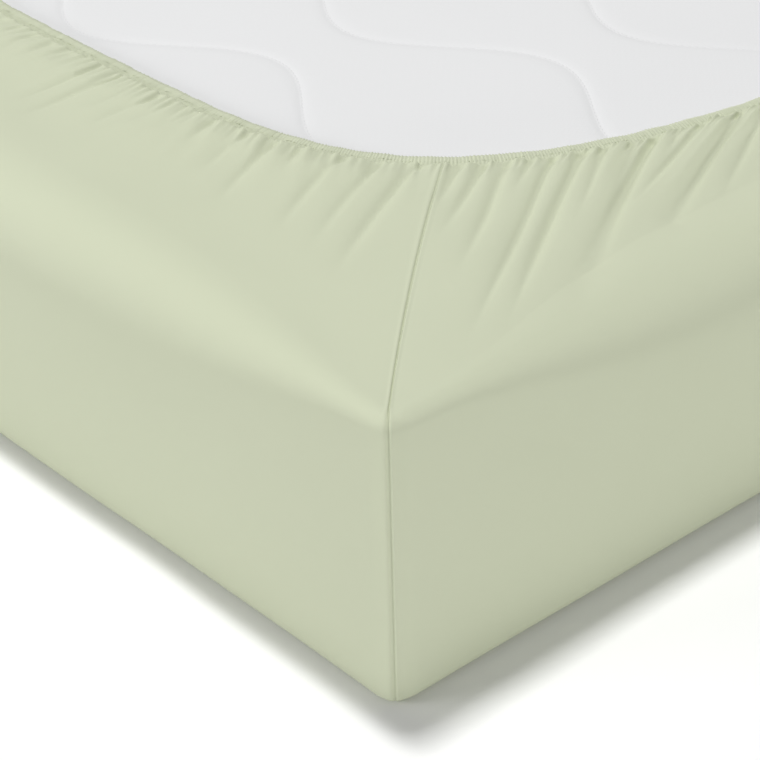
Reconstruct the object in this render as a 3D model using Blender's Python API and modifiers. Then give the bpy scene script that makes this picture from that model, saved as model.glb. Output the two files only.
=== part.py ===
"""A fitted sheet stretched over a single mattress that lies with its underside up.

The sheet is one cloth: a panel under the mattress, four sides, and a flange that
turns in over the mattress's face and is drawn up by an elastic edging. Metres, +Z up,
with the origin in the middle of the face that the whole thing rests on.
"""

import math

import bmesh
import bpy
import numpy as np

# Outside of the dressed mattress.
HALF_WIDTH = 0.500
HALF_LENGTH = 1.000
HEIGHT = 0.200
CORNER_RADIUS = 0.018
BOTTOM_RADIUS = 0.008

# The upper edge is tight at a corner and rolls over softly further along.
EDGE_RADIUS_AT_CORNER = 0.010
EDGE_RADIUS_GAIN = 0.040
EDGE_GAIN_LENGTH = 0.160
EDGE_GAIN_POWER = 2.4

CLOTH = 0.0015
EDGE_GAP = 0.002
REST_GAP = 0.0003

# The mouth is a superellipse, and each corner seam meets it at SEAM_X, SEAM_Y.
MOUTH_HALF_WIDTH = 0.384
MOUTH_HALF_LENGTH = 0.817
MOUTH_POWER = 4.1
MOUTH_SAMPLES = 2000
SEAM_X = 0.278
SEAM_Y = 0.760

EDGING_WIDTH = 0.0105
EDGING_FLAT_WIDTH = 0.0063
EDGING_THICKNESS = 0.0036
EDGING_GAP = 0.0004

CORNER_STATIONS = 5
CORNER_MOUTH_SHARE = 0.6
BOTTOM_ARC_STEPS = 2
TOP_ARC_STEPS = 3
FLANGE_SHARES = (0.35, 0.62, 0.86, 1.0)

# A fold climbs to its crest at this share of the flange, and the edging then holds
# it down to a share of that height.
FOLD_CREST_SHARE = 0.86
FOLD_HELD_SHARE = 0.35

# One row for each valley between two folds: how far from the corner it would meet the
# mattress's edge, how far from the seam it leaves the edging, and for the fold beyond
# it the height of its crest and the share of the flange that it reaches over.
FOLD_COLUMNS = ("edge", "mouth", "crest", "reach")
SHORT_SIDE_FOLDS = (
    (0.080, 0.014, 0.0056, 0.72),
    (0.114, 0.047, 0.0060, 0.62),
    (0.152, 0.078, 0.0050, 0.56),
    (0.205, 0.107, 0.0054, 0.44),
    (0.292, 0.145, 0.0036, 0.36),
    (0.370, 0.184, 0.0042, 0.34),
    (0.432, 0.232, 0.0036, 0.40),
)
LONG_SIDE_FOLDS = (
    (0.026, 0.034, 0.0046, 0.52),
    (0.058, 0.074, 0.0066, 0.76),
    (0.096, 0.106, 0.0058, 0.78),
    (0.138, 0.152, 0.0072, 0.80),
    (0.174, 0.190, 0.0050, 0.66),
    (0.214, 0.230, 0.0056, 0.70),
    (0.275, 0.282, 0.0044, 0.56),
    (0.352, 0.348, 0.0040, 0.50),
    (0.448, 0.428, 0.0042, 0.44),
    (0.570, 0.528, 0.0034, 0.46),
    (0.704, 0.632, 0.0036, 0.40),
    (0.856, 0.742, 0.0030, 0.42),
)

# Each corner is drawn up a little differently: its signs in X and Y, and its folds'
# strength.
CORNERS = ((1, -1, 1.00), (1, 1, 0.86), (-1, 1, 0.94), (-1, -1, 0.80))

SHEET_COLOUR = (0.60, 0.64, 0.49)
EDGING_COLOUR = (0.55, 0.59, 0.44)
TICKING_COLOUR = (0.80, 0.80, 0.80)
SHEET_ROUGHNESS = 0.85
EDGING_ROUGHNESS = 0.90
TICKING_ROUGHNESS = 0.90


def clear_scene():
    for item in list(bpy.data.objects):
        bpy.data.objects.remove(item)


def cloth_material(name, colour, roughness):
    material = bpy.data.materials.new(name)
    material.use_nodes = True
    shader = material.node_tree.nodes["Principled BSDF"]
    shader.inputs["Base Color"].default_value = (*colour, 1.0)
    shader.inputs["Roughness"].default_value = roughness
    shader.inputs["Metallic"].default_value = 0.0
    return material


class Mouth:
    """The opening's rim in one quarter, measured along its length from the seam.

    Distances are negative towards the short side's middle and positive towards the
    long side's middle.
    """

    def __init__(self):
        angle = np.linspace(math.pi / 2, 0.0, MOUTH_SAMPLES)
        power = 2.0 / MOUTH_POWER
        self.x = MOUTH_HALF_WIDTH * np.cos(angle).clip(0.0) ** power
        self.y = MOUTH_HALF_LENGTH * np.sin(angle) ** power
        steps = np.hypot(np.diff(self.x), np.diff(self.y))
        along = np.concatenate([[0.0], np.cumsum(steps)])
        seam = np.hypot(self.x - SEAM_X, self.y - SEAM_Y).argmin()
        self.along = along - along[seam]
        self.slope_x = np.gradient(self.x, self.along)
        self.slope_y = np.gradient(self.y, self.along)

    def at(self, distance, outset):
        """The point that far along the rim and that far outside it."""
        x, y, run, rise = (
            float(np.interp(distance, self.along, values))
            for values in (self.x, self.y, self.slope_x, self.slope_y)
        )
        length = math.hypot(run, rise)
        return x - outset * rise / length, y + outset * run / length


class Station:
    """One section through a side: its places on the outline and on the mouth, and its
    fold's height and reach. Both places are measured from the corner, as on Mouth."""

    def __init__(self, edge, mouth, crest=0.0, reach=0.5):
        self.edge = edge
        self.mouth = mouth
        self.crest = crest
        self.reach = reach

    def outline(self, inset):
        """The outline's point in this quarter, moved in from the dressed size."""
        half_arc = CORNER_RADIUS * math.pi / 4
        share = max(-1.0, min(1.0, self.edge / half_arc))
        turn = math.pi / 4 * (1.0 - share)
        radius = CORNER_RADIUS - inset
        x = HALF_WIDTH - CORNER_RADIUS + radius * math.cos(turn)
        y = HALF_LENGTH - CORNER_RADIUS + radius * math.sin(turn)
        beyond = max(abs(self.edge) - half_arc, 0.0)
        if self.edge < 0:
            x -= beyond
        else:
            y -= beyond
        return x, y

    def edge_radius(self):
        gain = 1.0 - math.exp(-((abs(self.edge) / EDGE_GAIN_LENGTH) ** EDGE_GAIN_POWER))
        return EDGE_RADIUS_AT_CORNER + EDGE_RADIUS_GAIN * gain

    def lift(self, share):
        """How high the fold stands at that share of the way in to the mouth."""
        start = 1.0 - self.reach
        if share <= start:
            return 0.0
        if share > FOLD_CREST_SHARE:
            held = (share - FOLD_CREST_SHARE) / (1.0 - FOLD_CREST_SHARE)
            return self.crest * (1.0 - held * (1.0 - FOLD_HELD_SHARE))
        climb = (share - start) / (FOLD_CREST_SHARE - start)
        return self.crest * math.sin(climb * math.pi / 2)


def half_side(half_extent):
    """The length of the outline from a corner's middle to a side's middle."""
    return half_extent - CORNER_RADIUS + CORNER_RADIUS * math.pi / 4


def side_stations(table, sign, edge_end, mouth_end, strength):
    """A valley and a crest for each row, from the corner out to the side's middle."""
    folds = [dict(zip(FOLD_COLUMNS, row)) for row in table]
    beyond = folds[1:] + [{"edge": edge_end, "mouth": mouth_end}]
    found = []
    for fold, after in zip(folds, beyond):
        edge = (fold["edge"] + after["edge"]) / 2
        mouth = (fold["mouth"] + after["mouth"]) / 2
        found.append(Station(sign * fold["edge"], sign * fold["mouth"]))
        found.append(Station(sign * edge, sign * mouth, fold["crest"] * strength, fold["reach"]))
    return found


def corner_stations():
    """The plain sections round the corner itself, on both sides of its seam."""
    half_arc = CORNER_RADIUS * math.pi / 4
    nearest = dict(zip(FOLD_COLUMNS, SHORT_SIDE_FOLDS[0]))["mouth"]
    found = []
    for index in range(CORNER_STATIONS):
        place = 2.0 * index / (CORNER_STATIONS - 1) - 1.0
        found.append(Station(place * half_arc, place * CORNER_MOUTH_SHARE * nearest))
    return found


def quarter_stations(mouth, strength):
    """The stations of one quarter, from the short side's middle to its last fold on
    the long side, with the long side's middle left to the next quarter."""
    short_edge, short_mouth = half_side(HALF_WIDTH), -mouth.along[0]
    long_edge, long_mouth = half_side(HALF_LENGTH), mouth.along[-1]
    short = side_stations(SHORT_SIDE_FOLDS, -1, short_edge, short_mouth, strength)
    long = side_stations(LONG_SIDE_FOLDS, 1, long_edge, long_mouth, strength)
    middle = Station(-short_edge, -short_mouth)
    return [middle, *reversed(short), *corner_stations(), *long]


def all_stations(mouth):
    """(signs, station) all the way round, counter-clockwise seen from above."""
    long_middle = Station(half_side(HALF_LENGTH), mouth.along[-1])
    found = []
    for sign_x, sign_y, strength in CORNERS:
        quarter = quarter_stations(mouth, strength)
        if sign_x * sign_y > 0:
            quarter = [long_middle, *reversed(quarter[1:])]
        found += [((sign_x, sign_y), station) for station in quarter]
    return found


def side_profile(station, inset, bottom, top):
    """(inset, height) pairs from the bottom panel up to the flange."""
    lower = BOTTOM_RADIUS - inset
    upper = station.edge_radius() - inset
    points = []
    for step in range(BOTTOM_ARC_STEPS + 1):
        turn = math.pi / 2 * step / BOTTOM_ARC_STEPS
        points.append((inset + lower * (1 - math.sin(turn)), bottom + lower * (1 - math.cos(turn))))
    for step in range(TOP_ARC_STEPS + 1):
        turn = math.pi / 2 * step / TOP_ARC_STEPS
        points.append((inset + upper * (1 - math.cos(turn)), top - upper * (1 - math.sin(turn))))
    return points


def side_rings(stations, inset, bottom, top):
    """The rings of points that side_profile gives, all the way round."""
    rings = []
    for signs, station in stations:
        profile = side_profile(station, inset, bottom, top)
        rings.append([placed(signs, *station.outline(step_in), z) for step_in, z in profile])
    return [list(ring) for ring in zip(*rings)]


def placed(signs, x, y, z):
    return signs[0] * x, signs[1] * y, z


def loft(name, rings, close_last):
    """An object whose faces join the rings in order, capped at the first ring."""
    shape = bmesh.new()
    loops = [[shape.verts.new(point) for point in ring] for ring in rings]
    count = len(loops[0])
    for lower, upper in zip(loops, loops[1:]):
        for index in range(count):
            after = (index + 1) % count
            shape.faces.new((lower[index], lower[after], upper[after], upper[index]))
    shape.faces.new(reversed(loops[0]))
    if close_last:
        shape.faces.new(loops[-1])
    mesh = bpy.data.meshes.new(name)
    shape.to_mesh(mesh)
    shape.free()
    return bpy.data.objects.new(name, mesh)


def make_sheet(stations, mouth, collection):
    """The cloth: its outer face is lofted, and Solidify gives it its thickness."""
    rings = side_rings(stations, 0.0, 0.0, HEIGHT)
    flange_start = rings[-1]
    for share in FLANGE_SHARES:
        ring = []
        for (signs, station), (start_x, start_y, _) in zip(stations, flange_start):
            end_x, end_y = mouth.at(station.mouth, EDGING_WIDTH + EDGING_GAP)
            x = abs(start_x) + share * (end_x - abs(start_x))
            y = abs(start_y) + share * (end_y - abs(start_y))
            ring.append(placed(signs, x, y, HEIGHT + station.lift(share)))
        rings.append(ring)
    sheet = loft("fitted_sheet", rings, close_last=False)
    sheet.data.materials.append(cloth_material("sheet_cloth", SHEET_COLOUR, SHEET_ROUGHNESS))
    collection.objects.link(sheet)
    thickness = sheet.modifiers.new("cloth thickness", "SOLIDIFY")
    thickness.thickness = CLOTH
    thickness.offset = -1.0
    thickness.use_even_offset = True


def make_mattress(stations, collection):
    """The mattress inside: the sheet's own sections, moved in by the cloth and a gap."""
    inset = CLOTH + EDGE_GAP
    rings = side_rings(stations[::2], inset, CLOTH + REST_GAP, HEIGHT - inset)
    mattress = loft("mattress", rings, close_last=True)
    mattress.data.materials.append(
        cloth_material("mattress_ticking", TICKING_COLOUR, TICKING_ROUGHNESS)
    )
    collection.objects.link(mattress)


def edging_profile(collection):
    """The edging's flat section with tapered sides, the guide that its curve sweeps."""
    flat = EDGING_FLAT_WIDTH / 2
    side = EDGING_WIDTH / 2
    half = EDGING_THICKNESS / 2
    outline = (
        (flat, -half),
        (-flat, -half),
        (-side, 0.0),
        (-flat, half),
        (flat, half),
        (side, 0.0),
    )
    curve = bpy.data.curves.new("edging_profile", "CURVE")
    curve.dimensions = "2D"
    spline = curve.splines.new("POLY")
    spline.use_cyclic_u = True
    spline.points.add(len(outline) - 1)
    for point, (x, y) in zip(spline.points, outline):
        point.co = (x, y, 0.0, 1.0)
    guide = bpy.data.objects.new("edging_profile", curve)
    guide.hide_render = True
    guide.display_type = "WIRE"
    collection.objects.link(guide)
    return guide


def make_edging(stations, mouth, collection, guides):
    """The elastic edging: its section swept once round the mouth, on the mattress."""
    face = HEIGHT - CLOTH - EDGE_GAP
    height = face + REST_GAP + EDGING_THICKNESS / 2
    curve = bpy.data.curves.new("elastic_edging", "CURVE")
    curve.dimensions = "3D"
    curve.twist_mode = "Z_UP"
    curve.bevel_mode = "OBJECT"
    curve.bevel_object = edging_profile(guides)
    spline = curve.splines.new("POLY")
    spline.use_cyclic_u = True
    sections = stations[::2]
    spline.points.add(len(sections) - 1)
    for point, (signs, station) in zip(spline.points, sections):
        x, y = mouth.at(station.mouth, EDGING_WIDTH / 2)
        point.co = (*placed(signs, x, y, height), 1.0)
    edging = bpy.data.objects.new("elastic_edging", curve)
    curve.materials.append(cloth_material("elastic_edging", EDGING_COLOUR, EDGING_ROUGHNESS))
    collection.objects.link(edging)


def main():
    clear_scene()
    collection = bpy.data.collections.new("fitted sheet on a mattress")
    guides = bpy.data.collections.new("guides")
    for item in (collection, guides):
        bpy.context.scene.collection.children.link(item)
    mouth = Mouth()
    stations = all_stations(mouth)
    make_sheet(stations, mouth, collection)
    make_mattress(stations, collection)
    make_edging(stations, mouth, collection, guides)


main()
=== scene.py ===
"""A fitted sheet on a mattress that lies with its underside up.

The frame holds the true sizes. This script makes what is seen: the quilted cover in
the sheet's mouth, the creased cloth, the gathered elastic edging and its stitches.
"""

import math

import bpy
import numpy as np
from mathutils import Matrix, Vector


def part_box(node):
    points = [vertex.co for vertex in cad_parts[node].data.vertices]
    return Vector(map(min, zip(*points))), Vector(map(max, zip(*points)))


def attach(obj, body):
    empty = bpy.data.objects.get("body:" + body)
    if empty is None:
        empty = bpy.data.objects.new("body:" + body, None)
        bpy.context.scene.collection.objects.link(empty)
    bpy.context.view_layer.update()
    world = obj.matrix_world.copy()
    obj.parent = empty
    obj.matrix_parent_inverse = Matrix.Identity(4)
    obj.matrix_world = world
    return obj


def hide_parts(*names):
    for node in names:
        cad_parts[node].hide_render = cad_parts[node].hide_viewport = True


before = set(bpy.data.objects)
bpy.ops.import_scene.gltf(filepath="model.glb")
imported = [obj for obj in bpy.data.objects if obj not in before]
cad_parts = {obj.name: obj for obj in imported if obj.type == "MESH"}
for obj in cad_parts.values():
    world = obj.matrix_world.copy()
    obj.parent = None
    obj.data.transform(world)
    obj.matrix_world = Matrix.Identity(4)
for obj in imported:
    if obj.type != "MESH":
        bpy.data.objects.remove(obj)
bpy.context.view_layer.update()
bpy.ops.object.select_all(action="DESELECT")


# ---------------------------------------------------------------------------
# The mattress: a foam block in a knitted cover. The cover is quilted to a thin
# wadding in rows of shallow waves, each row half a wave on from the last, and only
# the part in the sheet's mouth is seen.
# ---------------------------------------------------------------------------

mattress_low, mattress_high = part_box("mattress")
WAVE_PITCH = 0.142
WAVE_LENGTH = 0.288
WAVE_HEIGHT = 0.036
WAVE_CREST_X = -0.075
FIRST_WAVE_Y = -0.902
WAVE_ROWS = 13
ROW_SHARES = (
    0.0, 0.015, 0.035, 0.07, 0.14, 0.26, 0.42, 0.58, 0.74, 0.86, 0.93, 0.965, 0.985,
)
COLUMNS = 96
GROOVE_DEPTH = 0.0008
GROOVE_WIDTH = 0.0036
PUFF_DEPTH = 0.0006
PUFF_WIDTH = 0.022
BLOCK_CORNER = 0.030
BLOCK_EDGE = 0.050
BLOCK_FOOT = 0.012
BORDER_FADE = 0.08
NO_LINE = 1.0

# A Mix node has a set of sockets for each kind of value. These are the colours' ones.
MIX_SHARE, MIX_FIRST, MIX_SECOND = 0, 6, 7


class Reading:
    """A number from a node's socket. Arithmetic on it adds Math nodes."""

    def __init__(self, finish, socket):
        self.finish = finish
        self.socket = socket

    def math(self, operation, *values):
        sockets = dict(enumerate(values))
        return self.finish.node("ShaderNodeMath", {"operation": operation}, sockets)[0]

    def __add__(self, other):
        return self.math("ADD", self, other)

    def __mul__(self, other):
        return self.math("MULTIPLY", self, other)

    __radd__ = __add__
    __rmul__ = __mul__

    def sine(self):
        return self.math("SINE", self)

    def fade(self, start, end):
        """1 where this is at start, falling smoothly to 0 where it is at end."""
        settings = {"interpolation_type": "SMOOTHSTEP"}
        sockets = {"Value": self, "From Min": start, "From Max": end, "To Min": 1.0, "To Max": 0.0}
        return self.finish.node("ShaderNodeMapRange", settings, sockets)[0]


class Finish:
    """A material and the one method that adds nodes to it."""

    def __init__(self, name, **constants):
        self.material = bpy.data.materials.new(name)
        self.material.use_nodes = True
        self.tree = self.material.node_tree
        self.shader = self.tree.nodes["Principled BSDF"]
        for socket, value in constants.items():
            self.shader.inputs[socket.replace("_", " ")].default_value = value

    def node(self, kind, settings=None, sockets=None):
        """Adds a node, sets it, joins its sockets and returns what it gives."""
        node = self.tree.nodes.new(kind)
        for setting, value in (settings or {}).items():
            setattr(node, setting, value)
        for socket, value in (sockets or {}).items():
            self.join(value, node.inputs[socket])
        return [Reading(self, socket) for socket in node.outputs if socket.enabled]

    def join(self, value, socket):
        if isinstance(value, Reading):
            self.tree.links.new(value.socket, socket)
        else:
            socket.default_value = value

    def shade(self, **sockets):
        for name, value in sockets.items():
            self.join(value, self.shader.inputs[name.replace("_", " ")])

    def noise(self, place, scale, detail=2.0, roughness=0.5):
        sockets = {"Vector": place, "Scale": scale, "Detail": detail, "Roughness": roughness}
        return self.node("ShaderNodeTexNoise", {}, sockets)[0]

    def mix(self, share, first, second):
        """The colour that far from the first to the second."""
        sockets = {MIX_SHARE: share, MIX_FIRST: (*first, 1.0), MIX_SECOND: (*second, 1.0)}
        return self.node("ShaderNodeMix", {"data_type": "RGBA"}, sockets)[0]

    def bump(self, height, distance, strength=1.0):
        sockets = {"Height": height, "Distance": distance, "Strength": strength}
        return self.node("ShaderNodeBump", {}, sockets)[0]


def wave_line(x, row):
    """The Y of a quilting row at x. Rows past the face's ends are its straight ends."""
    half = mattress_high.y
    turn = 2 * math.pi * (x - WAVE_CREST_X) / WAVE_LENGTH + math.pi * row
    waved = FIRST_WAVE_Y + WAVE_PITCH * row + WAVE_HEIGHT * np.cos(turn)
    straight = np.full_like(x, -half if row < 0 else half)
    return straight if row in (-1, WAVE_ROWS) else waved


bpy.ops.mesh.primitive_grid_add(
    x_subdivisions=COLUMNS, y_subdivisions=(WAVE_ROWS + 1) * len(ROW_SHARES), size=1.0
)
mattress = bpy.context.object
mattress.name = "quilted_mattress"
places = np.array([vertex.co for vertex in mattress.data.vertices])
columns = COLUMNS + 1
across = places[:, 0].reshape(-1, columns) * 2 * mattress_high.x
rows = across.shape[0]
surface = np.zeros((rows, columns, 3))
seam_map = np.zeros((rows, columns, 2))
surface[..., 0] = across
for index in range(rows):
    line, step = divmod(index, len(ROW_SHARES))
    share = ROW_SHARES[step] if line <= WAVE_ROWS else 0.0
    x = across[index]
    before, after = wave_line(x, line - 1), wave_line(x, min(line, WAVE_ROWS))
    if line <= WAVE_ROWS:
        y = before + share * (after - before)
    else:
        y = np.full_like(x, mattress_high.y)
    gap = np.minimum(
        y - before if line > 0 else np.full_like(x, NO_LINE),
        after - y if line < WAVE_ROWS else np.full_like(x, NO_LINE),
    )
    surface[index, :, 1] = y
    relief = GROOVE_DEPTH * np.exp(-((gap / GROOVE_WIDTH) ** 2))
    relief += PUFF_DEPTH * np.exp(-gap / PUFF_WIDTH)
    border = np.minimum(mattress_high.x - np.abs(x), mattress_high.y - np.abs(y))
    surface[index, :, 2] = mattress_high.z - relief * np.clip(border / BORDER_FADE, 0.0, 1.0)
    seam_map[index, :, 0] = x
    seam_map[index, :, 1] = gap

# The block's plan corners are rounded by drawing the square corners in to arcs, and its
# upper edge rolls over.
inner = np.array([mattress_high.x - BLOCK_CORNER, mattress_high.y - BLOCK_CORNER])
plan = surface[..., :2]
past = np.maximum(np.abs(plan) - inner, 0.0)
reach = np.hypot(past[..., 0], past[..., 1])
square = past.max(axis=-1)
shrink = np.divide(square, reach, out=np.ones_like(reach), where=reach > 0)
past *= shrink[..., None]
surface[..., :2] = np.sign(plan) * (np.minimum(np.abs(plan), inner) + past)
edge = (np.array([mattress_high.x, mattress_high.y]) - np.abs(plan)).min(axis=-1)
edge = np.clip(edge, 0, BLOCK_EDGE)
surface[..., 2] -= BLOCK_EDGE - np.sqrt(BLOCK_EDGE**2 - (BLOCK_EDGE - edge) ** 2)
mattress.data.vertices.foreach_set("co", surface.reshape(-1))

quilting = mattress.data.uv_layers.active
quilting.name = "quilting"
loops = np.zeros(len(mattress.data.loops), int)
mattress.data.loops.foreach_get("vertex_index", loops)
quilting.data.foreach_set("uv", seam_map.reshape(-1, 2)[loops].reshape(-1))

bpy.ops.object.mode_set(mode="EDIT")
bpy.ops.mesh.select_mode(type="EDGE")
bpy.ops.mesh.select_all(action="DESELECT")
bpy.ops.mesh.select_non_manifold()
wall = mattress_high.z - BLOCK_EDGE - mattress_low.z - BLOCK_FOOT
bpy.ops.mesh.extrude_region_move(TRANSFORM_OT_translate={"value": (0, 0, -wall)})
bpy.ops.mesh.extrude_region_move(TRANSFORM_OT_translate={"value": (0, 0, -BLOCK_FOOT)})
narrow = [1.0 - BLOCK_FOOT / side for side in mattress_high.xy]
bpy.ops.transform.resize(value=(*narrow, 1.0), center_override=(0, 0, mattress_low.z))
bpy.ops.mesh.edge_face_add()
bpy.ops.mesh.select_all(action="SELECT")
bpy.ops.mesh.normals_make_consistent(inside=False)
bpy.ops.object.mode_set(mode="OBJECT")
bpy.ops.object.shade_smooth_by_angle(angle=math.radians(50))
mattress.matrix_world = Matrix.Identity(4)

TICKING_WHITE = (0.800, 0.803, 0.806)
TICKING_SHADE = (0.765, 0.768, 0.772)
KNIT_SCALE = 950.0
QUILT_THREAD_SCALE = 1400.0

ticking = Finish("mattress_ticking", Roughness=0.9, Specular_IOR_Level=0.25, Sheen_Weight=0.15)
place = ticking.node("ShaderNodeTexCoord")[3]
quilt = ticking.node("ShaderNodeUVMap", {"uv_map": "quilting"})[0]
along, gap, _ = ticking.node("ShaderNodeSeparateXYZ", {}, {0: quilt})
x, y, _ = ticking.node("ShaderNodeSeparateXYZ", {}, {0: place})
loop_height = (x * KNIT_SCALE * 2).sine() * (y * KNIT_SCALE + (x * KNIT_SCALE).sine()).sine()
stitch = (along * QUILT_THREAD_SCALE).sine().fade(0.5, -0.2) * gap.fade(0.0004, 0.0009)
# Painted highlight: the cover is made lighter in a band reaching about 2.6 mm to each side of a
# quilting row, standing in for the light that the row's groove catches.
thread_and_row_highlight = gap.fade(0.0012, 0.0026)
cloudy = ticking.noise(place, 9.0, 3.0)
fuzz = ticking.noise(place, 1600.0, 2.0)
# The cover's colour: random cloudy tone and fuzz, plus the painted highlight along the quilting
# rows.
ticking.shade(
    Base_Color=ticking.mix(cloudy * 0.5 + fuzz * 0.2 + thread_and_row_highlight * 0.3, TICKING_SHADE, TICKING_WHITE),
    Roughness=0.86 + cloudy * 0.08,
    Normal=ticking.bump(loop_height * 0.12 + fuzz * 0.2 + stitch, 0.0003, 0.6),
)
mattress.data.materials.clear()
mattress.data.materials.append(ticking.material)

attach(mattress, "root")
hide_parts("mattress")


# ---------------------------------------------------------------------------
# The sheet: one cloth, cut with a square out of each corner and sewn there, so that
# it fits the block. Its flange turns in over the mattress and is gathered to the
# elastic, and the gathers run out from the edging as uneven creases.
# ---------------------------------------------------------------------------

_, sheet_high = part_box("fitted_sheet")
_, edging_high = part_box("elastic_edging")
FLANGE_LIFT = 0.0035
LEAST_LIFT = 0.0007
FLANGE_Z = mattress_high.z + FLANGE_LIFT
CLOTH_FLOOR_Z = mattress_high.z + LEAST_LIFT
CORNER_RADIUS = 0.018
BOTTOM_RADIUS = 0.008
EDGE_RADIUS_AT_CORNER = 0.010
EDGE_RADIUS_GAIN = 0.040
EDGE_GAIN_LENGTH = 0.160
SHORT_GAIN_POWER = 1.7
LONG_GAIN_POWER = 2.4
RIM_POWER = 4.1
EDGING_WIDTH = 0.0105
SEAM_RIM = Vector((0.278, 0.760))
SEAM_SHIFT = 0.007
SEAM_BOW = 0.0035
SEAM_REACH = 0.080
BOW_X, BOW_Y = -0.88, 0.47
BOTTOM_STEPS = 5
SIDE_STEPS = 10
TOP_STEPS = 11
TOP_ROUNDNESS = 2.45
TOP_SPREAD = 1.12


class Rim:
    """The mouth's rim in one quarter, by distance along it from the corner seam.

    Distances are negative towards the short side's middle. The mouth is a
    superellipse, and outset moves a point out from it.
    """

    def __init__(self, half_width, half_length):
        angle = np.linspace(math.pi / 2, 0.0, 4000)
        self.x = half_width * np.cos(angle).clip(0.0) ** (2 / RIM_POWER)
        self.y = half_length * np.sin(angle) ** (2 / RIM_POWER)
        steps = np.hypot(np.diff(self.x), np.diff(self.y))
        along = np.concatenate([[0.0], np.cumsum(steps)])
        seam = np.hypot(self.x - SEAM_RIM.x, self.y - SEAM_RIM.y).argmin()
        self.along = along - along[seam]
        self.run = np.gradient(self.x, self.along)
        self.rise = np.gradient(self.y, self.along)

    def at(self, distance, outset):
        traces = (self.x, self.y, self.run, self.rise)
        x, y, run, rise = (np.interp(distance, self.along, values) for values in traces)
        length = np.hypot(run, rise)
        return x - outset * rise / length, y + outset * run / length


rim = Rim(edging_high.x - EDGING_WIDTH, edging_high.y - EDGING_WIDTH)
SHORT_RIM, LONG_RIM = -rim.along[0], rim.along[-1]
QUARTER_ARC = CORNER_RADIUS * math.pi / 4
SHORT_EDGE = sheet_high.x - CORNER_RADIUS + QUARTER_ARC
LONG_EDGE = sheet_high.y - CORNER_RADIUS + QUARTER_ARC

# Where the threads that leave the rim at one distance from the seam reach the block's
# outline, as a distance from its corner. A pair gives the one along the rim first.
SHORT_THREADS = (
    (0.0, 0.0), (0.02, 0.030), (0.06, 0.120), (0.10, 0.205), (0.20, 0.372),
    (SHORT_RIM, SHORT_EDGE),
)
LONG_THREADS = (
    (0.0, 0.0), (0.034, 0.028), (0.074, 0.060), (0.152, 0.138), (0.230, 0.216), (0.348, 0.350),
    (0.528, 0.570), (0.742, 0.850), (LONG_RIM, LONG_EDGE),
)

# The cloth's sections stand closest where it is seen best and beside a seam. A row
# gives a corner's signs in X and Y and the step between sections on its two sides.
CORNER_COLUMNS = ("x", "y", "short step", "long step")
CORNERS = (
    (1, -1, 0.0012, 0.0013),
    (1, 1, 0.0023, 0.0024),
    (-1, 1, 0.0023, 0.0024),
    (-1, -1, 0.0017, 0.0024),
)
SEAM_STEPS = (0.0, 0.0006, 0.0012, 0.0020, 0.0031, 0.0046)
ALL_RINGS_NEAR, MOST_RINGS_NEAR, HALF_RINGS_NEAR = 0.0035, 0.005, 0.04


def section_places(end, step):
    """Distances from the seam to a side's middle, close together at the seam."""
    start = SEAM_STEPS[-1] + step
    plain = np.linspace(start, end, round((end - start) / step))
    return np.concatenate([SEAM_STEPS, plain])


def corner_sections(row):
    """A corner's distances along the rim and how many rings each section reaches."""
    corner = dict(zip(CORNER_COLUMNS, row))
    short = section_places(SHORT_RIM, corner["short step"])
    long = section_places(LONG_RIM, corner["long step"])
    count_short, count_long = np.arange(len(short)), np.arange(len(long))
    count_short[-1] = count_long[-1] = 0
    along = np.concatenate([-short[::-1], long[1:]])
    count = np.concatenate([count_short[::-1], count_long[1:]])
    near = np.abs(along)
    second, fourth = count % 2 == 0, count % 4 == 0
    level = np.where(second | (near < MOST_RINGS_NEAR), 1, 0)
    reaches_all = fourth | (second & (near < HALF_RINGS_NEAR)) | (near < ALL_RINGS_NEAR)
    level = np.where(reaches_all, 2, level)
    if corner["x"] * corner["y"] > 0:
        along, level = along[::-1], level[::-1]
    signs = np.tile([corner["x"], corner["y"]], (len(along) - 1, 1))
    return along[:-1], level[:-1], signs


parts = [corner_sections(row) for row in CORNERS]
from_seam = np.concatenate([part[0] for part in parts])
section_level = np.concatenate([part[1] for part in parts])
section_sign = np.concatenate([part[2] for part in parts])
section_corner = np.repeat(np.arange(len(parts)), [len(part[0]) for part in parts])
short_table, long_table = np.array(SHORT_THREADS), np.array(LONG_THREADS)
section_edge = np.where(
    from_seam < 0,
    -np.interp(-from_seam, short_table[:, 0], short_table[:, 1]),
    np.interp(from_seam, long_table[:, 0], long_table[:, 1]),
)


def smooth(values):
    """0 below 0, 1 above 1, and a smooth climb between."""
    values = np.clip(values, 0.0, 1.0)
    return values * values * (3.0 - 2.0 * values)


# A seam runs in to the edging a little past the corner's diagonal, in a slight bow.
seam_near = 1.0 - smooth(np.abs(from_seam) / SEAM_REACH)
section_rim = from_seam + SEAM_SHIFT * seam_near
rim_x, rim_y = rim.at(section_rim, 0.0)
rim_points = np.stack([rim_x, rim_y], axis=1) * section_sign
rim_lengths = np.linalg.norm(np.roll(rim_points, -1, axis=0) - rim_points, axis=1)
section_round = np.concatenate([[0.0], np.cumsum(rim_lengths)[:-1]])
ROUND = rim_lengths.sum()


def outline(inset):
    """The block's outline at each section, moved in, and its outward direction."""
    share = np.clip(section_edge / QUARTER_ARC, -1.0, 1.0)
    turn = math.pi / 4 * (1.0 - share)
    out_x, out_y = np.cos(turn), np.sin(turn)
    beyond = np.maximum(np.abs(section_edge) - QUARTER_ARC, 0.0)
    x = sheet_high.x - CORNER_RADIUS + (CORNER_RADIUS - inset) * out_x
    y = sheet_high.y - CORNER_RADIUS + (CORNER_RADIUS - inset) * out_y
    x = x - np.where(section_edge < 0, beyond, 0.0)
    y = y - np.where(section_edge >= 0, beyond, 0.0)
    return x, y, out_x, out_y
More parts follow.
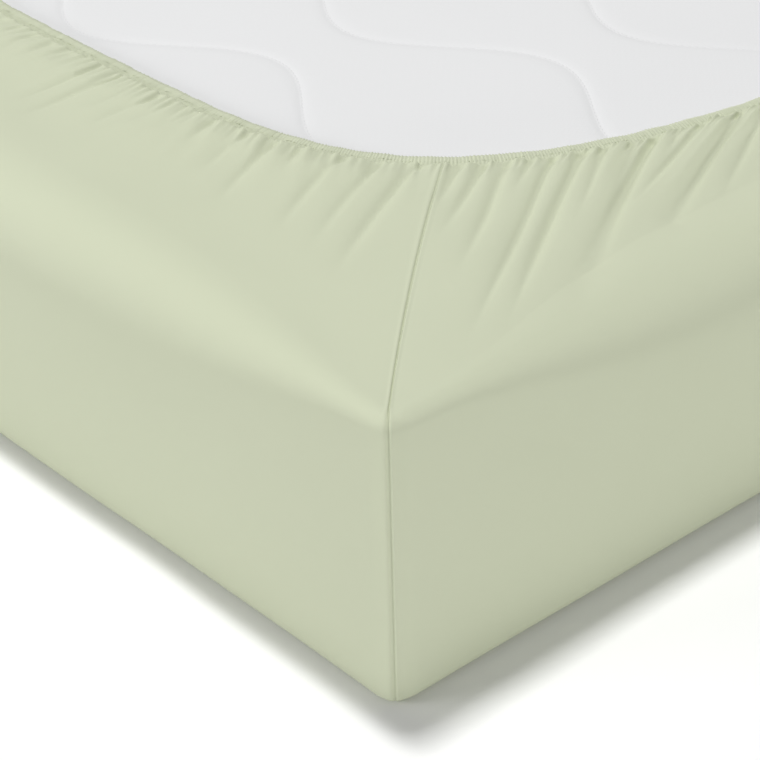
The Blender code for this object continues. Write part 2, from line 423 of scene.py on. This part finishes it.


# The creases that are listed one by one, all at the corner that is seen best. Each leaves
# the edging at a distance along the rim and heads out at an angle from the bed's width,
# bending to one side, and is a trough or, where its depth is negative, a ridge.
CREASE_COLUMNS = ("rim", "heading", "length", "bend", "depth", "width")
CREASES = (
    (-0.290, 92, 0.080, 0.002, 0.0030, 0.0044),
    (-0.265, 91, 0.096, -0.002, 0.0034, 0.0046),
    (-0.240, 90, 0.052, 0.000, 0.0024, 0.0040),
    (-0.217, 92, 0.064, -0.002, 0.0030, 0.0042),
    (-0.205, 84, 0.048, 0.002, 0.0026, 0.0038),
    (-0.184, 80, 0.040, 0.001, 0.0026, 0.0040),
    (-0.163, 70, 0.042, 0.000, 0.0026, 0.0040),
    (-0.131, 69, 0.060, -0.001, 0.0034, 0.0048),
    (-0.106, 65, 0.094, -0.003, 0.0038, 0.0052),
    (-0.089, 56, 0.038, 0.000, 0.0020, 0.0036),
    (-0.056, 64, 0.112, -0.004, 0.0036, 0.0050),
    (-0.031, 63, 0.126, -0.003, 0.0036, 0.0050),
    (-0.008, 62, 0.158, -0.003, 0.0046, 0.0054),
    (0.018, 59, 0.066, 0.000, 0.0034, 0.0048),
    (0.034, 60, 0.112, 0.000, 0.0044, 0.0054),
    (0.047, 56, 0.158, 0.002, 0.0046, 0.0062),
    (0.055, 56, 0.024, 0.000, 0.0022, 0.0032),
    (0.064, 60, 0.052, 0.000, 0.0028, 0.0040),
    (0.077, 57, 0.240, 0.000, 0.0058, 0.0062),
    (0.098, 57, 0.232, -0.002, 0.0066, 0.0066),
    (0.114, 57, 0.108, 0.000, 0.0040, 0.0048),
    (0.133, 58, 0.070, 0.001, 0.0034, 0.0046),
    (0.151, 58, 0.246, -0.0065, 0.0086, 0.0074),
    (0.168, 60, 0.036, 0.000, 0.0024, 0.0036),
    (0.191, 70, 0.138, 0.000, 0.0050, 0.0062),
    (0.206, 68, 0.128, 0.002, -0.0020, 0.0060),
    (0.221, 64, 0.198, -0.003, 0.0058, 0.0064),
    (0.246, 62, 0.156, -0.002, 0.0042, 0.0058),
)
HAND_END = 0.262
CREASE_START = 0.009
CREASE_EASE = 0.84
LEFT_SPREAD = 1.35
RIGHT_SPREAD = 0.75
CREASE_SOFTNESS = 0.06
CREASE_LEAD = 0.001
CREASE_WIDTHS = (0.6, 1.1)
CREASE_FADE_START, CREASE_FADE_SHARE = 0.45, 0.65

# The usual creases' heading, length and depth beside the seam and far from it.
SHORT_USUAL_REACH = 0.22
SHORT_HEADINGS, SHORT_LENGTHS, SHORT_DEPTHS = (62.0, 90.0), (0.150, 0.065), (0.0046, 0.0032)
LONG_USUAL_START = 0.24
LONG_HEADINGS, LONG_LENGTHS, LONG_DEPTHS = (60.0, 0.0), (0.215, 0.065), (0.0062, 0.0036)
USUAL_WIDTH = 0.0062
CREASE_GAPS = (0.015, 0.033)


def between(ends, share):
    """The value that share of the way from the first end to the second."""
    return ends[0] + (ends[1] - ends[0]) * share


def usual_crease(distance, draw):
    """A crease like its neighbours, for the stretches of rim that are seen less."""
    size = draw.uniform(0.55, 1.0)
    if distance < 0:
        far = min(-distance / SHORT_USUAL_REACH, 1.0)
        heading = between(SHORT_HEADINGS, far * far * (3 - 2 * far))
        length = between(SHORT_LENGTHS, far)
        depth = between(SHORT_DEPTHS, far)
    else:
        far = (distance - LONG_USUAL_START) / (LONG_RIM - LONG_USUAL_START)
        far = min(max(far, 0.0), 1.0)
        heading = between(LONG_HEADINGS, far**1.2)
        length = between(LONG_LENGTHS, far**0.6)
        depth = between(LONG_DEPTHS, far)
    return (
        distance, heading + draw.normal(0.0, 3.0), length * size**1.5,
        draw.uniform(-0.02, 0.015) * length, depth * size, USUAL_WIDTH * size**0.5,
    )


def corner_creases(number):
    """All the creases of a corner, the listed ones where there are any, and the usual ones."""
    draw = np.random.default_rng(40 + number)
    found = list(CREASES) if number == 0 else []
    distance = HAND_END if number == 0 else -SHORT_RIM + 0.006
    while distance < LONG_RIM - 0.01:
        distance += draw.uniform(*CREASE_GAPS)
        found.append(usual_crease(distance, draw))
    return [dict(zip(CREASE_COLUMNS, row)) for row in found]


def crease_height(x, y, crease):
    """What one crease adds to the cloth's height at points of its quarter."""
    start_x, start_y = rim.at(crease["rim"], EDGING_WIDTH)
    heading = math.radians(crease["heading"])
    along = (x - start_x) * math.cos(heading) + (y - start_y) * math.sin(heading)
    share = along / crease["length"]
    side = (x - start_x) * math.sin(heading) - (y - start_y) * math.cos(heading)
    within = np.clip(share, 0.0, 1.0)
    side = side - 4.0 * crease["bend"] * within * (1.0 - within)
    width = crease["width"] * between(CREASE_WIDTHS, within)
    width = width * np.where(side < 0, LEFT_SPREAD, RIGHT_SPREAD)
    away = np.sqrt((side / width) ** 2 + CREASE_SOFTNESS) - CREASE_SOFTNESS**0.5
    start = smooth((along + CREASE_LEAD) / CREASE_START)
    end = 1.0 - smooth((share - CREASE_FADE_START) / CREASE_FADE_SHARE)
    return -CREASE_EASE * crease["depth"] * np.exp(-away) * start * end


def gathers(pitch, seed):
    """A height from 0 to 1 round the whole rim, in uneven tucks about a pitch apart."""
    draw = np.random.default_rng(seed)
    count = 2 * round(ROUND / pitch)
    knots = np.cumsum(draw.uniform(0.6, 1.4, count))
    knots = np.concatenate([[0.0], knots / knots[-1] * ROUND])
    crests, troughs = draw.uniform(0.45, 1.0, count), draw.uniform(0.0, 0.2, count)
    heights = np.where(np.arange(count) % 2, crests, troughs)
    heights = np.append(heights, heights[0])
    index = np.clip(np.searchsorted(knots, section_round, side="right") - 1, 0, count - 1)
    share = smooth((section_round - knots[index]) / (knots[index + 1] - knots[index]))
    return heights[index] + share * (heights[index + 1] - heights[index])


def ripples(points, length, seed):
    """A smooth unevenness of about 1 over points in space, of that wavelength."""
    draw = np.random.default_rng(seed)
    total = np.zeros(len(points))
    for _ in range(9):
        heading = draw.normal(size=3)
        heading /= np.linalg.norm(heading)
        turn = 2 * math.pi / (length * draw.uniform(0.7, 1.5))
        total += np.sin(points @ heading * turn + draw.uniform(0, 2 * math.pi))
    return total / 3.0


# Rings of the flange by their distance from the edging, then by share of the rest.
HEM_DISTANCES = (
    0.0, 0.0014, 0.0026, 0.0036, 0.0046, 0.0057, 0.0070, 0.0086, 0.0105, 0.013, 0.016,
    0.0195, 0.0235, 0.028,
)
FLANGE_RINGS = 34
TUCK_START = 0.0016
HEM_DROP = 0.0024
HEM_RISE = 0.0056
HEM_OUTSET = EDGING_WIDTH - 0.0040
HEM_TURN = 0.0006
# The tucks of the gathers, three sets of them: pitch, height and how far out they fade.
TUCK_SETS = ((0.0052, 0.0021, 0.013), (0.0092, 0.0027, 0.024), (0.0170, 0.0022, 0.044))
TUCK_CLIMB = 0.0045
SIDE_UNEVENNESS, SIDE_UNEVEN_LENGTH = 0.0006, 0.16
FLANGE_UNEVENNESS, FLANGE_UNEVEN_LENGTH, UNEVEN_CLIMB = 0.0004, 0.09, 0.03
SETTLE = 0.0012

# By distance along the rim from the corner: how high the drawn-up cloth stands between
# its creases, and the share of the flange that it does so over.
PUFFS = (
    (-0.300, 0.0036, 0.66), (-0.150, 0.0038, 0.70), (-0.100, 0.0046, 0.80), (-0.050, 0.0052, 0.90),
    (0.000, 0.0050, 0.94), (0.040, 0.0058, 1.00), (0.100, 0.0068, 1.05), (0.200, 0.0066, 1.05),
    (0.300, 0.0054, 1.00), (0.450, 0.0044, 0.84), (0.790, 0.0034, 0.72),
)
PUFF_AT_HEM, PUFF_CLIMB = 0.12, 0.030
SEAM_DEPTH = 0.0013
CORNER_SEAM_DEPTH = 0.0006
SEAM_HALF_WIDTH = 0.0008
LIP_HEIGHT, LIP_PLACE, LIP_WIDTH = 0.0004, 0.0022, 0.0012
RIDGE_HEIGHT, RIDGE_WIDTH = 0.0024, 0.0042
RIDGE_AT_FOOT, RIDGE_ON_TOP = 0.7, 0.35

rings = []
ring_levels = []
unrolled = []


def add_ring(x, y, z, level, run):
    """Keeps a ring of points of the whole sheet, and how far up its sections it lies."""
    rings.append(np.stack([x * section_sign[:, 0], y * section_sign[:, 1], z], axis=1))
    ring_levels.append(level)
    unrolled.append(run)


def seam_relief(strength, depth=SEAM_DEPTH):
    """The groove that a corner seam pulls in the cloth and the lips beside it."""
    groove = -depth * np.exp(-((from_seam / SEAM_HALF_WIDTH) ** 2))
    lip = LIP_HEIGHT * np.exp(-(((np.abs(from_seam) - LIP_PLACE) / LIP_WIDTH) ** 2))
    return strength * (groove + lip)


def corner_ridge(strength):
    """How far the tight seam holds the corner out."""
    return strength * RIDGE_HEIGHT * np.exp(-np.abs(from_seam / RIDGE_WIDTH))


creases = [corner_creases(number) for number in range(len(CORNERS))]


def creases_at(x, y):
    """What all the creases add at each section's point of its quarter."""
    height = np.zeros(len(x))
    for number, found in enumerate(creases):
        here = section_corner == number
        for crease in found:
            height[here] += crease_height(x[here], y[here], crease)
    return height


gain_power = np.where(section_edge < 0, SHORT_GAIN_POWER, LONG_GAIN_POWER)
edge_gain = 1 - np.exp(-((np.abs(section_edge) / EDGE_GAIN_LENGTH) ** gain_power))
top_radius = TOP_SPREAD * (EDGE_RADIUS_AT_CORNER + EDGE_RADIUS_GAIN * edge_gain)
side_height = FLANGE_Z - BOTTOM_RADIUS - top_radius
run_start = np.zeros(len(section_rim))


def settled(height):
    """The cloth's height from its level, held up smoothly where it meets the mattress."""
    least = CLOTH_FLOOR_Z + SETTLE - FLANGE_Z
    pressed = least - SETTLE * (1.0 - np.exp(np.minimum(height - least, 0.0) / SETTLE))
    return np.where(height < least, pressed, height)


def side_ring(inset, z, tilt, run, seam_strength, uneven, ridge, creased=0.0):
    """A ring of the sides, pushed out along its own slope by its relief."""
    x, y, out_x, out_y = outline(inset)
    points = np.stack([x * section_sign[:, 0], y * section_sign[:, 1], z], axis=1)
    push = seam_relief(seam_strength, SEAM_DEPTH + ridge * CORNER_SEAM_DEPTH)
    push = push + uneven * SIDE_UNEVENNESS * ripples(points, SIDE_UNEVEN_LENGTH, 5)
    push = push + settled(creased * creases_at(x, y))
    flat = push * math.cos(tilt) + corner_ridge(ridge)
    add_ring(x + out_x * flat, y + out_y * flat, z + push * math.sin(tilt), 2, run)


for step in range(BOTTOM_STEPS + 1):
    turn = math.pi / 2 * step / BOTTOM_STEPS
    inset = np.full(len(section_rim), BOTTOM_RADIUS * (1 - math.sin(turn)))
    z = np.full(len(section_rim), BOTTOM_RADIUS * (1 - math.cos(turn)))
    run = run_start + BOTTOM_RADIUS * turn
    strength = step / BOTTOM_STEPS
    ridge = between((RIDGE_AT_FOOT, 1.0), strength)
    side_ring(inset, z, turn - math.pi / 2, run, strength, strength, ridge)
for step in range(1, SIDE_STEPS + 1):
    share = step / (SIDE_STEPS + 1)
    z = BOTTOM_RADIUS + share * side_height
    run = run_start + BOTTOM_RADIUS * math.pi / 2 + share * side_height
    side_ring(np.zeros(len(z)), z, 0.0, run, 1.0, 1.0, 1.0)
for step in range(TOP_STEPS + 1):
    turn = math.pi / 2 * step / TOP_STEPS
    inset = top_radius * (1 - math.cos(turn) ** (2 / TOP_ROUNDNESS))
    z = FLANGE_Z - top_radius * (1 - math.sin(turn) ** (2 / TOP_ROUNDNESS))
    run = run_start + BOTTOM_RADIUS * math.pi / 2 + side_height + top_radius * turn
    climb = smooth(step / TOP_STEPS)
    fade = 1.0 - climb
    ridge = between((RIDGE_ON_TOP, 1.0), fade)
    side_ring(inset, z, turn, run, 1.0, fade, ridge, (1.0 - fade) * climb)

edge_x, edge_y, _, _ = outline(top_radius)
edge_run = unrolled[-1]
hem_x, hem_y = rim.at(section_rim, HEM_OUTSET)
flange_length = np.hypot(edge_x - hem_x, edge_y - hem_y)
tucks = [
    (height, fade, gathers(pitch, 11 + number))
    for number, (pitch, height, fade) in enumerate(TUCK_SETS)
]
puff = np.array(PUFFS)
puff_height = np.interp(section_rim, puff[:, 0], puff[:, 1])
puff_reach = np.interp(section_rim, puff[:, 0], puff[:, 2]) * flange_length


def flange_ring(distance, level):
    """A ring of the flange at a distance from the edging, with all that lifts it."""
    share = distance / flange_length
    bow = SEAM_BOW * 4.0 * share * (1.0 - share) * seam_near
    x = hem_x + share * (edge_x - hem_x) + BOW_X * bow
    y = hem_y + share * (edge_y - hem_y) + BOW_Y * bow
    fall = 1.0 - smooth(distance / puff_reach)
    puffed = between((PUFF_AT_HEM, 1.0), smooth(distance / PUFF_CLIMB))
    height = puff_height * puffed * fall
    tucked = smooth((distance - TUCK_START) / TUCK_CLIMB)
    for tuck, fade, shape in tucks:
        height = height + tuck * shape * tucked * np.exp(-((distance / fade) ** 1.5))
    height = height + creases_at(x, y)
    points = np.stack([x * section_sign[:, 0], y * section_sign[:, 1], np.zeros(len(x))], axis=1)
    uneven = smooth(distance / UNEVEN_CLIMB) * smooth((flange_length - distance) / UNEVEN_CLIMB)
    height = height + FLANGE_UNEVENNESS * ripples(points, FLANGE_UNEVEN_LENGTH, 8) * uneven
    height = height - HEM_DROP * (1.0 - smooth(distance / HEM_RISE))
    height = height + seam_relief(1.0)
    add_ring(x, y, FLANGE_Z + settled(height), level, edge_run + flange_length - distance)


for step in range(1, FLANGE_RINGS + 1):
    share = step / (FLANGE_RINGS + 1)
    flange_ring(flange_length + share * (HEM_DISTANCES[-1] - flange_length), 1)
for distance in reversed(HEM_DISTANCES):
    flange_ring(np.full(len(section_rim), distance), 0)
x, y = rim.at(section_rim, HEM_OUTSET + HEM_TURN)
add_ring(x, y, np.full(len(x), CLOTH_FLOOR_Z), 0, unrolled[-1] + 0.001)

kept = [np.flatnonzero(section_level >= level) for level in ring_levels]
starts = np.cumsum([0] + [len(found) for found in kept])
vertices = np.concatenate([ring[found] for ring, found in zip(rings, kept)])
faces = [tuple(range(len(kept[0])))[::-1]]
for ring in range(len(rings) - 1):
    lower, upper = kept[ring], kept[ring + 1]
    match = np.searchsorted(upper, lower)
    for index in range(len(lower)):
        after = (index + 1) % len(lower)
        top_end = match[after] if after else len(upper)
        above = range(top_end, match[index] - 1, -1)
        tops = [starts[ring + 1] + place % len(upper) for place in above]
        faces.append((starts[ring] + index, starts[ring] + after, *tops))

sheet_mesh = bpy.data.meshes.new("fitted_sheet_cloth")
sheet_mesh.from_pydata(vertices.tolist(), [], faces)
sheet_mesh.update()
sheet = bpy.data.objects.new("fitted_sheet_cloth", sheet_mesh)
bpy.context.scene.collection.objects.link(sheet)

# The weave runs straight over each side, so its map is the cloth laid out flat: a point
# on a short side keeps its X and one on a long side its Y.
run_up = np.concatenate([run[found] for run, found in zip(unrolled, kept)])
loops = np.zeros(len(sheet_mesh.loops), int)
sheet_mesh.loops.foreach_get("vertex_index", loops)
totals = np.zeros(len(sheet_mesh.polygons), int)
sheet_mesh.polygons.foreach_get("loop_total", totals)
centres = np.zeros(len(sheet_mesh.polygons) * 3)
sheet_mesh.polygons.foreach_get("center", centres)
section_of = np.concatenate(kept)
face_short = np.array([from_seam[section_of[list(face)]].mean() < 0 for face in faces])
face_of_loop = np.repeat(np.arange(len(faces)), totals)
corner_points = vertices[loops]
on_short = face_short[face_of_loop]
half = np.array([sheet_high.x - BOTTOM_RADIUS, sheet_high.y - BOTTOM_RADIUS])
flat = corner_points[:, :2].copy()
out = half[None, :] + run_up[loops][:, None]
flat[on_short, 1] = np.sign(flat[on_short, 1]) * out[on_short, 1]
flat[~on_short, 0] = np.sign(flat[~on_short, 0]) * out[~on_short, 0]
bottom = face_of_loop == 0
flat[bottom] = corner_points[bottom, :2]
weave_map = sheet_mesh.uv_layers.new(name="weave")
weave_map.data.foreach_set("uv", flat.reshape(-1))
to_hem = [(edge_run + flange_length - run)[found] for run, found in zip(unrolled, kept)]
for name, values in (
    ("hem_distance", np.concatenate(to_hem)),
    ("rim_distance", section_round[section_of]),
):
    attribute = sheet_mesh.attributes.new(name, "FLOAT", "POINT")
    attribute.data.foreach_set("value", values)
bpy.context.view_layer.objects.active = sheet
sheet.select_set(True)
bpy.ops.object.shade_smooth()
bpy.ops.object.select_all(action="DESELECT")

SAGE = (0.605, 0.640, 0.478)
SAGE_DEEP = (0.585, 0.622, 0.455)
THREADS_PER_METRE = 3200.0
PUCKER_SCALE = 2200.0
PUCKER_REACH = 0.006

cotton = Finish("sheet_cotton", Roughness=0.85, Specular_IOR_Level=0.2, Sheen_Weight=0.12)
place = cotton.node("ShaderNodeTexCoord")[3]
thread_map = cotton.node("ShaderNodeUVMap", {"uv_map": "weave"})[0]
warp, weft, _ = cotton.node("ShaderNodeSeparateXYZ", {}, {0: thread_map})
hem = cotton.node("ShaderNodeAttribute", {"attribute_name": "hem_distance"})[2]
around = cotton.node("ShaderNodeAttribute", {"attribute_name": "rim_distance"})[2]
turn = 2 * math.pi * THREADS_PER_METRE / 2
crossing = (warp * turn).sine() * (weft * turn).sine()
slub = cotton.noise(place, 420.0, 2.0)
cloudy = cotton.noise(place, 5.0, 3.0)
pucker = (around * PUCKER_SCALE + slub * 3.0).sine() * hem.fade(0.0, PUCKER_REACH)
height = crossing * 0.25 + slub * 0.35 + pucker * 1.6
cotton.shade(
    Base_Color=cotton.mix(cloudy * 0.8 + slub * 0.2, SAGE_DEEP, SAGE),
    Roughness=0.82 + cloudy * 0.08,
    Normal=cotton.bump(height, 0.00016, 0.5),
)
sheet_mesh.materials.append(cotton.material)

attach(sheet, "root")
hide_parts("fitted_sheet")


# ---------------------------------------------------------------------------
# The elastic edging: a narrow band sewn on stretched, so that it draws up into cross
# ribs when it is let go. Its inner edge shows them as small scallops.
# ---------------------------------------------------------------------------

RIB_PITCH = 0.0023
RIB_STEPS = 4
BAND_LIFT = 0.0002
BAND_THICK = 0.0026
BAND_ROLL = 0.0021
RIB_HEIGHT = 0.0007
SCALLOP = 0.0010
WANDER, WANDER_LENGTH = 0.0005, 0.05
LEAN, LEAN_LENGTH = 0.0003, 0.031

# The band's section, which rolls up towards its free edge: how far across it a point
# lies, its height as a share of the thickness, and how much of a rib and of a scallop
# it shows.
BAND_COLUMNS = ("across", "height", "rib", "scallop")
BAND_SECTION = (
    (-0.20, 0.00, 0.0, 0.0),
    (-0.24, 0.55, 0.2, 1.0),
    (-0.17, 0.92, 0.7, 0.7),
    (0.05, 1.00, 1.0, 0.1),
    (0.50, 1.00, 1.0, 0.0),
    (0.78, 0.93, 0.9, 0.0),
    (0.93, 0.72, 0.5, 0.0),
    (1.06, 0.42, 0.1, 0.0),
    (1.13, 0.18, 0.0, 0.0),
    (1.08, 0.00, 0.0, 0.0),
)

draw = np.random.default_rng(71)
rib_count = round(ROUND / RIB_PITCH)
rib_ends = np.cumsum(draw.uniform(0.75, 1.25, rib_count))
rib_ends = np.concatenate([[0.0], rib_ends / rib_ends[-1] * ROUND])
rib_size = draw.uniform(0.65, 1.2, rib_count)
step_share = np.arange(RIB_STEPS) / RIB_STEPS
band_round = (rib_ends[:-1, None] + np.diff(rib_ends)[:, None] * step_share).reshape(-1)
rib_wave = (rib_size[:, None] * (0.5 - 0.5 * np.cos(2 * math.pi * step_share))).reshape(-1)
round_ends = np.append(section_round, ROUND)
closed_rim = np.vstack([rim_points, rim_points[:1]])
band_points = np.column_stack(
    [np.interp(band_round, round_ends, values) for values in closed_rim.T]
)
tangent = np.roll(band_points, -1, axis=0) - np.roll(band_points, 1, axis=0)
window = np.ones(9) / 9
padded = np.concatenate([tangent[-4:], tangent, tangent[:4]])
tangent = np.column_stack([np.convolve(values, window, "valid") for values in padded.T])
tangent /= np.linalg.norm(tangent, axis=1)[:, None]
outward = np.stack([tangent[:, 1], -tangent[:, 0]], axis=1)
band_space = np.column_stack([band_points, np.zeros(len(band_points))])
wander = WANDER * ripples(band_space, WANDER_LENGTH, 3)
lean = LEAN * np.sin(band_round * 2 * math.pi / LEAN_LENGTH)


def band_rise(across, height, rib, wave, lean):
    """How high a point of the band stands over the mattress."""
    thick = BAND_THICK + BAND_ROLL * (1.0 - across)
    return BAND_LIFT + height * thick + rib * (RIB_HEIGHT * (wave - 0.3) + lean)


band_rings = []
for row in BAND_SECTION:
    point = dict(zip(BAND_COLUMNS, row))
    across = point["across"] * EDGING_WIDTH + wander * (1 - point["across"])
    across = across - point["scallop"] * SCALLOP * (rib_wave - 0.5)
    z = mattress_high.z + band_rise(point["across"], point["height"], point["rib"], rib_wave, lean)
    band_rings.append(np.column_stack([band_points + outward * across[:, None], z]))
band_vertices = np.concatenate(band_rings)
band_count = len(band_round)
band_faces = []
for ring in range(len(BAND_SECTION)):
    here, there = ring * band_count, (ring + 1) % len(BAND_SECTION) * band_count
    for index in range(band_count):
        after = (index + 1) % band_count
        band_faces.append((here + index, there + index, there + after, here + after))
band_mesh = bpy.data.meshes.new("gathered_edging")
band_mesh.from_pydata(band_vertices.tolist(), [], band_faces)
edging = bpy.data.objects.new("gathered_edging", band_mesh)
bpy.context.scene.collection.objects.link(edging)
bpy.context.view_layer.objects.active = edging
edging.select_set(True)
bpy.ops.object.mode_set(mode="EDIT")
bpy.ops.mesh.select_all(action="SELECT")
bpy.ops.mesh.normals_make_consistent(inside=False)
bpy.ops.object.mode_set(mode="OBJECT")
bpy.ops.object.shade_smooth()
bpy.ops.object.select_all(action="DESELECT")

EDGING_LIGHT = (0.625, 0.660, 0.500)
EDGING_DARK = (0.570, 0.605, 0.450)

elastic = Finish("elastic_edging", Roughness=0.88, Specular_IOR_Level=0.2, Sheen_Weight=0.1)
place = elastic.node("ShaderNodeTexCoord")[3]
yarn = elastic.noise(place, 900.0, 2.0)
patch = elastic.noise(place, 140.0, 2.0)
elastic.shade(
    Base_Color=elastic.mix(yarn * 0.6 + patch * 0.4, EDGING_DARK, EDGING_LIGHT),
    Roughness=0.84 + yarn * 0.1,
    Normal=elastic.bump(yarn, 0.0004, 0.6),
)
band_mesh.materials.append(elastic.material)

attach(edging, "root")
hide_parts("elastic_edging")


# ---------------------------------------------------------------------------
# The edging's stitches: a row of short polyester stitches that holds the band to the
# gathered cloth, each sunk a little into the band's top.
# ---------------------------------------------------------------------------

STITCH_PITCH = 0.0027
STITCH_LENGTH = 0.0019
STITCH_THICK = 0.00060
STITCH_ACROSS = 0.42
STITCH_SINK = 0.00012
STITCH_TILT, TILT_UNEVENNESS = 0.35, 0.12
PITCH_UNEVENNESS, ROW_UNEVENNESS = 0.12, 0.00015

bpy.ops.mesh.primitive_uv_sphere_add(segments=6, ring_count=5, radius=0.5)
stitches = bpy.context.object
stitches.name = "edging_stitches"
bpy.ops.object.mode_set(mode="EDIT")
bpy.ops.transform.rotate(value=math.pi / 2, orient_axis="Y", center_override=(0, 0, 0))
bpy.ops.transform.resize(value=(STITCH_LENGTH, STITCH_THICK, STITCH_THICK))
bpy.ops.object.mode_set(mode="OBJECT")
one_stitch = np.array([vertex.co for vertex in stitches.data.vertices])
one_faces = [tuple(polygon.vertices) for polygon in stitches.data.polygons]
stitch_count = round(ROUND / STITCH_PITCH)
draw = np.random.default_rng(19)
band_top = np.array(BAND_SECTION[1:-1])
stitch_height, stitch_rib = (
    np.interp(STITCH_ACROSS, band_top[:, 0], band_top[:, column]) for column in (1, 2)
)
all_points = []
all_faces = []
for number in range(stitch_count):
    shift = draw.uniform(-PITCH_UNEVENNESS, PITCH_UNEVENNESS)
    place_round = (number + shift) / stitch_count * ROUND
    index = int(np.searchsorted(band_round, place_round % ROUND)) % band_count
    tilt = draw.normal(0.0, TILT_UNEVENNESS) + STITCH_TILT
    forward = Matrix.Rotation(tilt, 2) @ Vector(tangent[index])
    sideways = Vector((forward.y, -forward.x))
    across = EDGING_WIDTH * STITCH_ACROSS + draw.normal(0.0, ROW_UNEVENNESS)
    middle = Vector(band_points[index]) + Vector(outward[index]) * across
    spread = one_stitch[:, :1] * np.array(forward) + one_stitch[:, 1:2] * np.array(sideways)
    rise = band_rise(STITCH_ACROSS, stitch_height, stitch_rib, rib_wave[index], lean[index])
    z = mattress_high.z + rise - STITCH_SINK + one_stitch[:, 2]
    first = len(all_points) * len(one_stitch)
    all_faces += [tuple(first + corner for corner in face) for face in one_faces]
    all_points.append(np.column_stack([spread + np.array(middle), z]))
stitches_mesh = bpy.data.meshes.new("edging_stitches")
stitches_mesh.from_pydata(np.concatenate(all_points).tolist(), [], all_faces)
stitches.data = stitches_mesh
bpy.ops.object.mode_set(mode="EDIT")
bpy.ops.mesh.select_all(action="SELECT")
bpy.ops.mesh.normals_make_consistent(inside=False)
bpy.ops.object.mode_set(mode="OBJECT")
bpy.ops.object.shade_smooth()
bpy.ops.object.select_all(action="DESELECT")

THREAD_DARK = (0.56, 0.60, 0.43)
THREAD_LIGHT = (0.64, 0.675, 0.51)

thread_and_row_highlight = Finish("edging_thread", Roughness=0.6, Specular_IOR_Level=0.35)
place = thread_and_row_highlight.node("ShaderNodeTexCoord")[3]
twist = thread_and_row_highlight.noise(place, 2500.0, 1.0)
thread_and_row_highlight.shade(
    Base_Color=thread_and_row_highlight.mix(twist, THREAD_DARK, THREAD_LIGHT),
    Roughness=0.55 + twist * 0.15,
    Normal=thread_and_row_highlight.bump(twist, 0.0001, 0.5),
)
stitches_mesh.materials.append(thread_and_row_highlight.material)

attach(stitches, "root")


# ---------------------------------------------------------------------------
# The plain floor, the soft light from one side and the camera above the corner.
# ---------------------------------------------------------------------------

FLOOR_SIZE, FLOOR_Z = 60.0, -0.0005
PAPER_WHITE = (0.93, 0.93, 0.93, 1.0)
WHITE = (1.0, 1.0, 1.0, 1.0)
WORLD_STRENGTH = 0.235

bpy.ops.mesh.primitive_plane_add(size=FLOOR_SIZE, location=(0, 0, FLOOR_Z))
floor = bpy.context.object
floor.name = "floor"
paper = Finish(
    "floor_paper", Base_Color=PAPER_WHITE, Roughness=1.0, Specular_IOR_Level=0.0,
    Emission_Color=WHITE, Emission_Strength=0.04,
)
floor.data.materials.append(paper.material)

world = bpy.data.worlds.new("studio")
world.use_nodes = True
world.node_tree.nodes["Background"].inputs["Color"].default_value = WHITE
world.node_tree.nodes["Background"].inputs["Strength"].default_value = WORLD_STRENGTH
bpy.context.scene.world = world

# Each soft box's place, the point it faces, its two sizes and its power.
LIGHT_COLUMNS = ("name", "place", "aim", "width", "length", "power")
LIGHTS = (
    ("overhead", (-0.84, -0.38, 8.0), (0.4, -0.9, 0.0), 0.6, 1.1, 448.0),
    ("left fill", (-1.95, -5.25, 1.45), (0.3, -0.8, 0.1), 2.0, 1.2, 90.0),
    ("right fill", (5.4, -1.5, 0.38), (0.5, -0.6, 0.1), 2.0, 0.6, 75.0),
)
for row in LIGHTS:
    box = dict(zip(LIGHT_COLUMNS, row))
    light = bpy.data.lights.new(box["name"], "AREA")
    light.shape = "RECTANGLE"
    light.size, light.size_y = box["width"], box["length"]
    light.energy = box["power"]
    lamp = bpy.data.objects.new(box["name"], light)
    lamp.location = box["place"]
    facing = Vector(box["aim"]) - Vector(box["place"])
    lamp.rotation_euler = facing.to_track_quat("-Z", "Y").to_euler()
    bpy.context.scene.collection.objects.link(lamp)

LENS = 113.684
SENSOR_WIDTH = 36.0
CAMERA_PLACE = (1.3343, -1.7230, 0.9012)

camera_data = bpy.data.cameras.new("camera")
camera_data.lens = LENS
camera_data.sensor_width = SENSOR_WIDTH
camera = bpy.data.objects.new("camera", camera_data)
right = Vector((0.6635, 0.7478, -0.0239))
up = Vector((-0.3754, 0.3603, 0.8539))
back = Vector((0.6472, -0.5576, 0.5198))
facing = Matrix((right, up, back)).transposed().to_4x4()
camera.matrix_world = Matrix.Translation(CAMERA_PLACE) @ facing
bpy.context.scene.collection.objects.link(camera)
bpy.context.scene.camera = camera
bpy.context.scene.view_settings.view_transform = "Standard"

bpy.context.view_layer.update()
